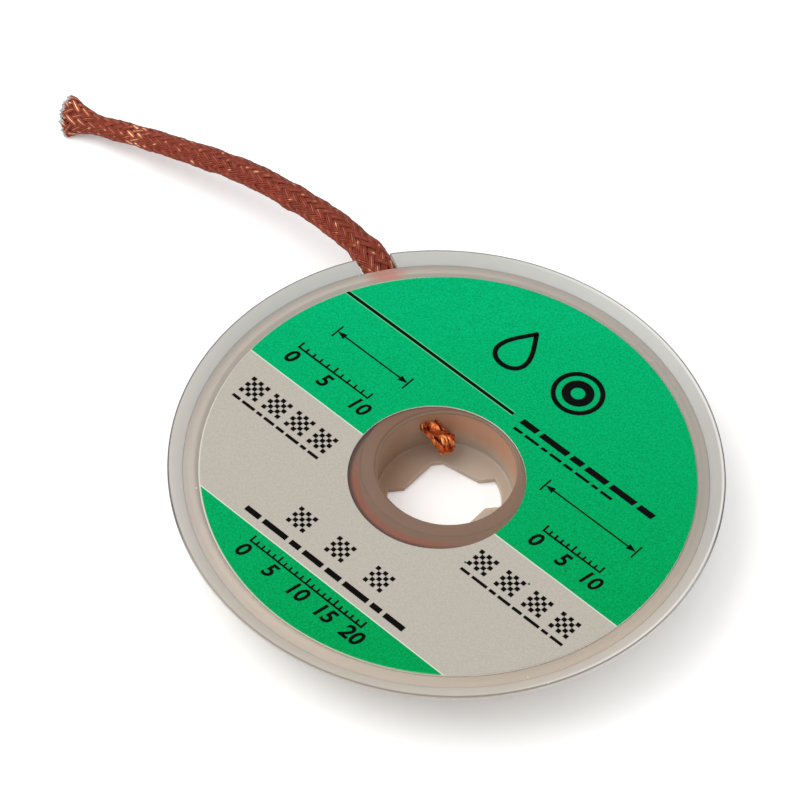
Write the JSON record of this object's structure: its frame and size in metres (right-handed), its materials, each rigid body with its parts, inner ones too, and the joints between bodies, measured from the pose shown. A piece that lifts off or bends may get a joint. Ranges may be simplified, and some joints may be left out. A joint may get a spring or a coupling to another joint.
{
  "type": "desoldering braid",
  "caption": "Flat copper desoldering braid wound on a small round moulded spool with a paper label, its free end drawn out over the rim.",
  "frame": {"origin": "on the spool's axis, at the level of the floor that it lies on", "axes": "+Z along the spool's axis, out of the labelled face; +Y away from the viewer of the picture; +X to the right"},
  "size_m": [0.0681, 0.078, 0.0064],
  "materials": {
    "spool_plastic": "milky translucent polypropylene, satin, faintly grey-beige",
    "label_paper": "coated paper printed green and pale grey with a black rule",
    "copper_braid": "braided fine bare copper wire with a dull flux coat, brighter where it is bent or cut"
  },
  "bodies": {
    "root": {"spool_dish": "spool_plastic", "front_disc": "spool_plastic", "label": "label_paper", "braid_coil": "copper_braid", "braid_tail": "copper_braid", "braid_inner_end": "copper_braid"}
  },
  "joints": []
}
